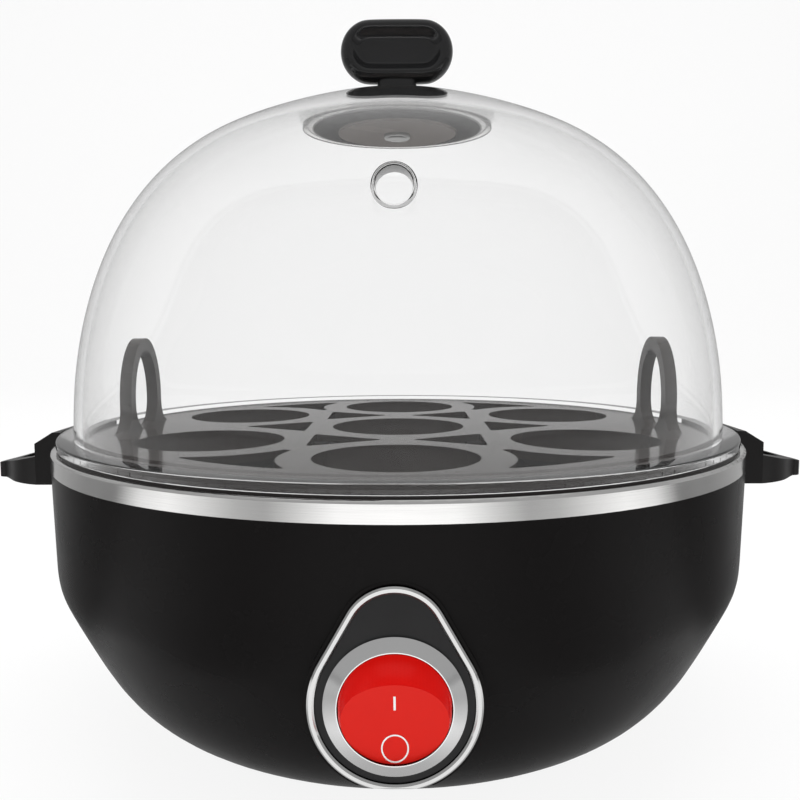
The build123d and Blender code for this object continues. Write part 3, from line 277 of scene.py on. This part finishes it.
def gridMesh(name, points, closedU=False):
    # points: rows by columns by 3; quads between neighbours, joined round the columns if closed
    rows, columns = points.shape[:2]
    index = np.arange(rows * columns).reshape(rows, columns)
    right = np.roll(index, -1, axis=1) if closedU else index[:, 1:]
    left = index if closedU else index[:, :-1]
    quads = np.stack([left[:-1], right[:-1], right[1:], left[1:]], axis=-1).reshape(-1, 4)
    mesh = bpy.data.meshes.new(name)
    mesh.from_pydata(points.reshape(-1, 3).tolist(), [], quads.tolist())
    mesh.polygons.foreach_set("use_smooth", np.ones(len(quads), bool))
    piece = bpy.data.objects.new(name, mesh)
    bpy.context.scene.collection.objects.link(piece)
    return piece


# the clear lid, in millimetres: its stations are (inset from the foot, height over the underside) up the outer side
domeStyle = {"under": 64.3, "crown": 144.2, "foot": 74.1, "wall": 1.7, "flange": 77.7, "flangeHeight": 1.9,
             "flangeRound": 0.5, "lean": 0.03, "across": 288, "upSteps": 80, "past": 3.0, "sharpDeg": 32,
             "stations": [(0.7, 13.9), (3.7, 29.9), (10.1, 46.1), (19.0, 58.4), (29.2, 66.6), (37.2, 70.6),
                          (49.3, 75.1)],
             "screw": {"radius": 1.9, "low": 130.0, "high": 150.0, "across": 48},
             "vent": {"height": 113.0, "face": 65.0, "depth": 16.0, "rim": 3.85, "hole": 3.1, "round": 0.6,
                      "past": 4.0, "proud": 1.0, "across": 72}}
cornerSteps = 7
sameSpot = 1e-6  # metres within which a cut mesh's points are one


def smoothCurve(points, startAim, endAim, count):
    # cubic through all points with the two end directions, even in the distance along the chords
    step = np.linalg.norm(np.diff(points, axis=0), axis=1)
    slope = np.diff(points, axis=0) / step[:, None]
    size = len(points)
    system, wanted = np.eye(size), np.zeros((size, 2))
    inner = np.arange(1, size - 1)
    system[inner, inner - 1] = step[1:]
    system[inner, inner] = 2 * (step[:-1] + step[1:])
    system[inner, inner + 1] = step[:-1]
    wanted[inner] = 3 * (step[1:, None] * slope[:-1] + step[:-1, None] * slope[1:])
    wanted[0], wanted[-1] = startAim / np.linalg.norm(startAim), endAim / np.linalg.norm(endAim)
    aim = np.linalg.solve(system, wanted)
    along = np.concatenate([[0], np.cumsum(step)])
    at = np.linspace(0, along[-1], count)
    run = np.clip(np.searchsorted(along, at, side="right") - 1, 0, size - 2)
    s = ((at - along[run]) / step[run])[:, None]
    h = step[run][:, None]
    place = ((2 * s**3 - 3 * s**2 + 1) * points[run] + (s**3 - 2 * s**2 + s) * h * aim[run]
             + (3 * s**2 - 2 * s**3) * points[run + 1] + (s**3 - s**2) * h * aim[run + 1])
    tangent = np.gradient(place, axis=0)
    return place, tangent / np.linalg.norm(tangent, axis=1)[:, None]


def turned(name, profile, across, axis="Z", centre=(0, 0, 0)):
    # a profile of (radius, height) carried round an axis; its ends lie on the axis and close there
    turn = np.linspace(0, 2 * math.pi, across, endpoint=False)
    radius, height = profile[:, :1], np.repeat(profile[:, 1:], across, axis=1)
    around = [radius * np.cos(turn), radius * np.sin(turn)]
    parts = [*around, height] if axis == "Z" else [around[0], -height, around[1]]
    return sealed(name, np.stack(parts, axis=-1) + np.array(centre))


def sealed(name, points):
    # rings of points in millimetres as one closed shell that faces outwards
    solid = gridMesh(name, points / 1000, True)
    whole = bmesh.new()
    whole.from_mesh(solid.data)
    bmesh.ops.remove_doubles(whole, verts=whole.verts, dist=sameSpot / 10)
    bmesh.ops.holes_fill(whole, edges=[e for e in whole.edges if e.is_boundary], sides=0)
    bmesh.ops.recalc_face_normals(whole, faces=whole.faces)
    whole.to_mesh(solid.data)
    whole.free()
    return solid


def roundedCorner(radius, height, r, fromDeg, toDeg):
    # profile points on an arc round a centre at (radius, height)
    turn = np.radians(np.linspace(fromDeg, toDeg, cornerSteps))
    return np.stack([radius + r * np.cos(turn), height + r * np.sin(turn)], axis=-1)


def cleanTriangles(mesh):
    # the mesh as triangles, without those that lie back to back on the same three corners
    whole = bmesh.new()
    whole.from_mesh(mesh)
    bmesh.ops.remove_doubles(whole, verts=whole.verts, dist=sameSpot)
    bmesh.ops.triangulate(whole, faces=whole.faces)
    whole.to_mesh(mesh)
    whole.free()
    places, corners = np.empty(3 * len(mesh.vertices)), np.empty(3 * len(mesh.polygons), int)
    mesh.vertices.foreach_get("co", places)
    mesh.polygons.foreach_get("vertices", corners)
    corners = corners.reshape(-1, 3)
    kind, count = np.unique(np.sort(corners, axis=1), axis=0, return_inverse=True, return_counts=True)[1:]
    clean = bpy.data.meshes.new(mesh.name)
    clean.from_pydata(places.reshape(-1, 3).tolist(), [], corners[count[kind.ravel()] == 1].tolist())
    return clean


def carved(form, steps, finishName, sharpDeg):
    # a form with others joined to it or cut from it in turn, then smooth apart from its sharp edges
    for tool, operation in steps:
        cut = form.modifiers.new(tool.name, "BOOLEAN")
        cut.object, cut.operation, cut.solver = tool, operation, "EXACT"
    result = form.evaluated_get(bpy.context.evaluated_depsgraph_get())
    ready = cleanTriangles(bpy.data.meshes.new_from_object(result))
    form.modifiers.clear()
    form.data = ready
    for tool, operation in steps:
        bpy.data.objects.remove(tool)
    ready.polygons.foreach_set("use_smooth", np.ones(len(ready.polygons), bool))
    ready.set_sharp_from_angle(angle=math.radians(sharpDeg))
    ready.materials.append(finishes[finishName])
    print(form.name, "made with", len(ready.polygons), "faces")
    return form


def screwHole(name, s):
    # upright round hole on the axis, between two heights
    corners = [(0, s["low"]), (s["radius"], s["low"]), (s["radius"], s["high"]), (0, s["high"])]
    return turned(name, np.array(corners), s["across"])


def clearDome():
    # outer form and vent boss, less the room inside, the vent and the screw's hole
    s, v = domeStyle, domeStyle["vent"]
    stations = [(s["foot"] - off, s["under"] + up) for off, up in s["stations"]]
    points = np.array([(s["foot"], s["under"] + s["flangeHeight"]), *stations, (0, s["crown"])])
    side, aim = smoothCurve(points, np.array([-s["lean"], 1.0]), np.array([-1.0, 0.0]), s["upSteps"])
    side[-1, 0] = 0
    r, low, high = s["flangeRound"], s["under"], s["under"] + s["flangeHeight"]
    outline = np.concatenate([[(0, low)], roundedCorner(s["flange"] - r, low + r, r, -90, 0),
                              roundedCorner(s["flange"] - r, high - r, r, 0, 90), side])
    within = side + s["wall"] * np.stack([-aim[:, 1], aim[:, 0]], axis=-1)
    within[-1, 0] = 0
    start = low - s["past"]
    room = np.concatenate([[(0, start), (within[0, 0], start)], within])
    dome = turned("clearDome", outline, s["across"])
    centre, far, past = (0, -v["face"], v["height"]), -v["depth"], -v["depth"] - v["past"]
    lip = roundedCorner(v["rim"] - v["round"], -v["round"], v["round"], 0, 90)
    boss = np.concatenate([[(0, far), (v["rim"], far)], lip, [(0, 0)]])
    mouth = roundedCorner(v["hole"] + v["round"] / 2, -v["round"] / 2, v["round"] / 2, 180, 90)
    hole = np.concatenate([[(0, past), (v["hole"], past)], mouth,
                           [(v["hole"] + v["round"], v["proud"]), (0, v["proud"])]])
    steps = [(turned("ventBoss", boss, v["across"], "Y", centre), "UNION"),
             (turned("lidRoom", room, s["across"]), "DIFFERENCE"),
             (turned("ventHole", hole, v["across"], "Y", centre), "DIFFERENCE"),
             (screwHole("screwHole", s["screw"]), "DIFFERENCE")]
    return carved(dome, steps, "lidClear", s["sharpDeg"])


# the lid's knob, in millimetres: a fat rim round a dish on each face, on a neck with an oval foot whose outline is
# given as (share of its width, lift over the crown)
knobStyle = {"middle": 153.8, "halfWidth": 13.15, "halfHeight": 7.2, "endTurn": 9, "turns": 160, "sharpDeg": 40,
             "halfDepth": 3.5, "rim": 2.0, "slope": 2.9, "slopePower": 0.85, "steps": 13, "floor": 1.6,
             "floorInsets": (5.9, 6.6, 7.15),
             "neck": {"halfWidth": 4.4, "halfDepth": 2.4, "low": 143.9, "high": 149.5, "flare": 0.7, "flarePower": 4,
                      "square": 4, "steps": 9},
             "foot": {"halfWidth": 11.4, "halfDepth": 2.9, "sagReach": 24.8, "sag": 4.8,
                      "outline": [(0.02, 0.03), (0.5, 0.03), (0.97, 0.03), (1.0, 0.08), (1.0, 0.35), (0.97, 0.5),
                                  (0.9, 0.55), (0.5, 0.55), (0.02, 0.55)]},
             "screw": {"radius": 1.7, "low": 140.0, "high": 149.0, "across": 36}}


def stadium(inset, turn):
    # a long round-ended loop at an inset from the knob's outline: a circle by its angle, its halves moved apart
    s = knobStyle
    straight = s["halfWidth"] - s["halfHeight"]
    radius = s["halfHeight"] - inset
    apart = np.tanh(s["endTurn"] * np.cos(turn)) / math.tanh(s["endTurn"])
    return apart * straight + radius * np.cos(turn), radius * np.sin(turn)


def knobPad(turn):
    # loops set in from the outline, whose depth follows a quarter oval up the rim and a soft fall to the floor
    s = knobStyle
    up = np.linspace(0, math.pi / 2, s["steps"])
    fall = np.linspace(0, 1, s["steps"])[1:]
    sink = 0.5 + 0.5 * np.cos(math.pi * fall ** s["slopePower"])
    inset = np.concatenate([s["rim"] * (1 - np.cos(up)), s["rim"] + s["slope"] * fall, s["floorInsets"]])
    depth = np.concatenate([s["halfDepth"] * np.sin(up), s["floor"] + (s["halfDepth"] - s["floor"]) * sink,
                            np.full(len(s["floorInsets"]), s["floor"])])
    inset = np.concatenate([inset[::-1], inset[1:]])[:, None]
    depth = np.concatenate([-depth[::-1], depth[1:]])[:, None] * np.ones_like(turn)
    across, height = stadium(inset, turn)
    return sealed("lidKnob", np.stack([across, depth, s["middle"] + height], axis=-1))


def knobNeck(turn):
    # rounded rectangles, a circle's points divided by the sum of their powers' root, that flare towards the foot
    s = knobStyle["neck"]
    tall = np.linspace(0, 1, s["steps"])[:, None]
    wide = 1 + s["flare"] / s["halfDepth"] * (1 - tall) ** s["flarePower"]
    square = (np.abs(np.cos(turn)) ** s["square"] + np.abs(np.sin(turn)) ** s["square"]) ** (-1 / s["square"])
    height = s["low"] + (s["high"] - s["low"]) * tall * np.ones_like(turn)
    return sealed("knobNeck", np.stack([s["halfWidth"] * wide * square * np.cos(turn),
                                        s["halfDepth"] * wide * square * np.sin(turn), height], axis=-1))


def knobFoot(turn):
    # ovals that follow the crown, which falls with the square of the distance from the axis
    s = knobStyle["foot"]
    out, lift = np.array(s["outline"]).T[:, :, None]
    x, y = s["halfWidth"] * out * np.cos(turn), s["halfDepth"] * out * np.sin(turn)
    sag = (x**2 + y**2) / s["sagReach"] ** 2 * s["sag"]
    return sealed("knobFoot", np.stack([x, y, domeStyle["crown"] + lift - sag], axis=-1))


def lidKnob():
    # the pad with neck and foot joined to it, less the screw's hole
    turn = np.linspace(0, 2 * math.pi, knobStyle["turns"], endpoint=False)
    steps = [(knobNeck(turn), "UNION"), (knobFoot(turn), "UNION"),
             (screwHole("knobScrewHole", knobStyle["screw"]), "DIFFERENCE")]
    return carved(knobPad(turn), steps, "knobBlack", knobStyle["sharpDeg"])


def barMark():
    # flat bar: a grid of points across its width and up its height, laid on the face
    up, across = np.meshgrid(np.linspace(-1, 1, markStyle["barRows"]),
                             np.linspace(-1, 1, markStyle["acrossRows"]), indexing="ij")
    return gridMesh("rockerMarkOn", onRockerFace(across * markStyle["barWidth"] / 2,
                                                 markStyle["barUp"] + up * markStyle["barHeight"] / 2))


def ringMark():
    # flat ring: radius between its two edges, angle all the way round, taller than wide, laid on the face
    edges = np.linspace(1, -1, markStyle["acrossRows"]) * markStyle["ringWidth"] / 2
    radius, turn = np.meshgrid(markStyle["ringRadius"] + edges,
                               np.linspace(0, 2 * math.pi, markStyle["ringSteps"], endpoint=False), indexing="ij")
    up = markStyle["ringUp"] + radius * markStyle["ringStretch"] * np.sin(turn)
    return gridMesh("rockerMarkOff", onRockerFace(radius * np.cos(turn), up), True)


markPaint = makeFinish("markPaint", {"tint": (0.85, 0.85, 0.84), "tintB": (0.8, 0.8, 0.79), "rough": 0.4,
                                     "bump": 0.1})
for mark in (barMark(), ringMark()):
    mark.data.materials.append(markPaint)
    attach(mark, "rocker_body")
print("switch marks laid on the rocker")

for piece, nodeName in ((clearDome(), "lid_dome"), (lidKnob(), "lid_knob")):
    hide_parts(nodeName)
    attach(piece, "lid")

# what mirrors see of the floor: near tones by metres from the axis, and further out screens by the angle round the
# axis, 0 at the front and 1 at the back
stageStyle = {"floorTint": (0.95, 0.95, 0.95), "rough": 0.9, "ownGlow": 0.88, "size": 3.0, "bend": 0.5,
              "bendSteps": 24, "wallShare": 1.6, "behind": 0.4, "behindFrom": [(0.55, 0.0), (0.8, 1.0)],
              "throughLid": 0.75, "lidWalls": (2, 3), "tonesReach": 1.0,
              "screens": [(0.0, 1.15), (0.085, 1.08), (0.139, 0.62), (0.187, 0.28), (0.235, 0.38), (0.29, 0.7),
                          (0.351, 1.0), (0.41, 0.8), (0.465, 0.05), (0.52, 0.1)],
              "tones": [(0.0, 0.45), (0.08, 0.4), (0.12, 0.15), (0.46, 0.12), (0.48, 0.15)],
              "screensFrom": [(0.085, 0.0), (0.105, 0.9), (0.25, 1.0), (0.41, 1.0), (0.47, 0.0)]}


def mathStep(tree, operation, first, second=0.0):
    # one step of arithmetic on sockets or plain numbers
    step = tree.nodes.new("ShaderNodeMath")
    step.operation = operation
    for socket, value in enumerate((first, second)):
        if isinstance(value, float):
            step.inputs[socket].default_value = value
        else:
            tree.links.new(value, step.inputs[socket])
    return step.outputs["Value"]


def rayShare(tree, names):
    # 1 for the named kinds of ray, 0 for the others
    path = tree.nodes.new("ShaderNodeLightPath")
    total = path.outputs[names[0]]
    for name in names[1:]:
        total = mathStep(tree, "MAXIMUM", total, path.outputs[name])
    return total


def mirrorShare(tree):
    # 1 for rays that a surface reflects, less for those that leave through the lid after it, 0 for refracted ones
    path = tree.nodes.new("ShaderNodeLightPath")
    straight = mathStep(tree, "SUBTRACT", path.outputs["Is Glossy Ray"], path.outputs["Is Transmission Ray"])
    walls = spread(tree, path.outputs["Transmission Depth"], 0, stageStyle["throughLid"], *stageStyle["lidWalls"])
    inside = mathStep(tree, "MULTIPLY", mathStep(tree, "MINIMUM", path.outputs["Glossy Depth"], 1.0), walls)
    return mathStep(tree, "MAXIMUM", straight, inside)


def roundAngle(tree, place):
    # angle about the upright axis, from 0 at the front to 1 at the back, the same on both sides, and the height
    split = tree.nodes.new("ShaderNodeSeparateXYZ")
    tree.links.new(place, split.inputs["Vector"])
    side = mathStep(tree, "ABSOLUTE", split.outputs["X"])
    front = mathStep(tree, "MULTIPLY", split.outputs["Y"], -1.0)
    return spread(tree, mathStep(tree, "ARCTAN2", side, front), 0, 1, 0, math.pi), split.outputs["Z"]


def mixTone(tree, share, low, high):
    # low where the share is 0, high where it is 1
    mix = tree.nodes.new("ShaderNodeMix")
    mix.data_type = "RGBA"
    tree.links.new(share, mix.inputs["Factor"])
    for socket, value in (("A", low), ("B", high)):
        if isinstance(value, float):
            mix.inputs[socket].default_value = (value, value, value, 1)
        else:
            tree.links.new(value, mix.inputs[socket])
    return mix.outputs["Result"]


def stageFinish():
    # pale matt floor that glows white to the camera and through the lid, and in the set tones to mirrors
    finish, tree, surface, output = startFinish("stagePale")
    surface.inputs["Base Color"].default_value = (*stageStyle["floorTint"], 1)
    surface.inputs["Roughness"].default_value = stageStyle["rough"]
    place = tree.nodes.new("ShaderNodeTexCoord")
    turn = roundAngle(tree, place.outputs["Object"])[0]
    away = farFrom(tree, {"centre": (0, 0, 0), "keep": (1, 1, 1), "reach": stageStyle["tonesReach"]})
    ring = rampOf(tree, away, stageStyle["screensFrom"])
    near = rampOf(tree, away, stageStyle["tones"])
    ahead = mixTone(tree, ring, near, rampOf(tree, turn, stageStyle["screens"]))
    mirrored = mixTone(tree, rampOf(tree, turn, stageStyle["behindFrom"]), ahead, stageStyle["behind"])
    glow = tree.nodes.new("ShaderNodeEmission")
    tree.links.new(mixTone(tree, mirrorShare(tree), 1.0, mirrored), glow.inputs["Color"])
    seen = rayShare(tree, ["Is Camera Ray", "Is Glossy Ray", "Is Transmission Ray"])
    share = mathStep(tree, "MULTIPLY", seen, stageStyle["ownGlow"])
    pickShader(tree, share, surface.outputs["BSDF"], glow.outputs["Emission"], output)
    return finish


def stageSheet():
    # floor that sweeps up into a wall behind: a line along Y, a quarter round, then straight up, carried along X
    half, bend = stageStyle["size"] / 2, stageStyle["bend"]
    turn = np.linspace(0, math.pi / 2, stageStyle["bendSteps"])
    y = np.concatenate([[-half, 0], half - bend + bend * np.sin(turn), [half]])
    z = np.concatenate([[0, 0], bend - bend * np.cos(turn), [half * stageStyle["wallShare"]]])
    x = np.array([-stageStyle["size"], stageStyle["size"]])
    across, along = np.meshgrid(x, np.arange(len(y)), indexing="ij")
    sheet = gridMesh("stageSheet", np.stack([across, y[along.astype(int)], z[along.astype(int)]], axis=-1))
    sheet.data.materials.append(stageFinish())
    return sheet


stageSheet()

lampStyle = {
    "topBox": {"at": (0.0, 0.1, 1.1), "aim": (0, 0, 0.08), "size": (1.3, 1.1), "power": 11.0},
    "frontBox": {"at": (0.0, -1.25, 0.42), "aim": (0, 0, 0.06), "size": (0.5, 0.7), "power": 4.0},
    "leftBox": {"at": (-1.0, -0.35, 0.5), "aim": (0, 0, 0.07), "size": (0.35, 0.9), "power": 3.0},
    "rightBox": {"at": (1.0, -0.3, 0.5), "aim": (0, 0, 0.07), "size": (0.35, 0.9), "power": 3.0},
}
for lampName, s in lampStyle.items():
    lamp = bpy.data.lights.new(lampName, "AREA")
    lamp.shape = "RECTANGLE"
    lamp.size, lamp.size_y = s["size"]
    lamp.energy = s["power"]
    holder = bpy.data.objects.new(lampName, lamp)
    away = np.array(s["at"]) - np.array(s["aim"])
    holder.location = s["at"]
    holder.rotation_euler = (math.atan2(math.hypot(away[0], away[1]), away[2]), 0, math.atan2(away[0], -away[1]))
    holder.visible_glossy = False
    holder.visible_transmission = False
    bpy.context.scene.collection.objects.link(holder)

# the air: white to the camera and through the lid, soft on matt faces, and to mirrors grey with a box overhead
airStyle = {"soft": 0.42, "ahead": 0.35, "behind": 0.4, "behindFrom": (0.55, 0.8), "overhead": 0.45,
            "boxFrom": 0.86, "boxTo": 0.92}


def studioAir():
    world = bpy.data.worlds.new("studioAir")
    world.use_nodes = True
    tree = world.node_tree
    ground = tree.nodes["Background"]
    place = tree.nodes.new("ShaderNodeTexCoord")
    turn, height = roundAngle(tree, place.outputs["Generated"])
    start, end = airStyle["behindFrom"]
    around = rampOf(tree, turn, [(0.0, airStyle["ahead"]), (start, airStyle["ahead"]), (end, airStyle["behind"])])
    box = spread(tree, height, 0, 1, airStyle["boxFrom"], airStyle["boxTo"])
    mirrored = mixTone(tree, box, around, airStyle["overhead"])
    seen = mixTone(tree, rayShare(tree, ["Is Camera Ray", "Is Transmission Ray"]), airStyle["soft"], 1.0)
    tree.links.new(mixTone(tree, mirrorShare(tree), seen, mirrored), ground.inputs["Color"])
    bpy.context.scene.world = world


studioAir()
bpy.context.scene.view_settings.view_transform = "Standard"

cameraStyle = {"distance": 0.2030, "height": 0.09097, "pitch": 0.0943, "roll": -0.0035, "turnDeg": 0.464,
               "lens": 37.58, "sensor": 36.0, "shift": 0.00248, "near": 0.01}
camera = bpy.data.cameras.new("photoView")
camera.lens = cameraStyle["lens"]
camera.sensor_width = cameraStyle["sensor"]
camera.shift_x = cameraStyle["shift"]
camera.clip_start = cameraStyle["near"]
viewer = bpy.data.objects.new("photoView", camera)
viewer.matrix_world = (Matrix.Rotation(math.radians(cameraStyle["turnDeg"]), 4, "Z")
                       @ Matrix.Translation((0, -cameraStyle["distance"], cameraStyle["height"]))
                       @ Matrix.Rotation(math.pi / 2 - cameraStyle["pitch"], 4, "X")
                       @ Matrix.Rotation(cameraStyle["roll"], 4, "Z"))
bpy.context.scene.collection.objects.link(viewer)
bpy.context.scene.camera = viewer
print("stage, lamps and camera set")
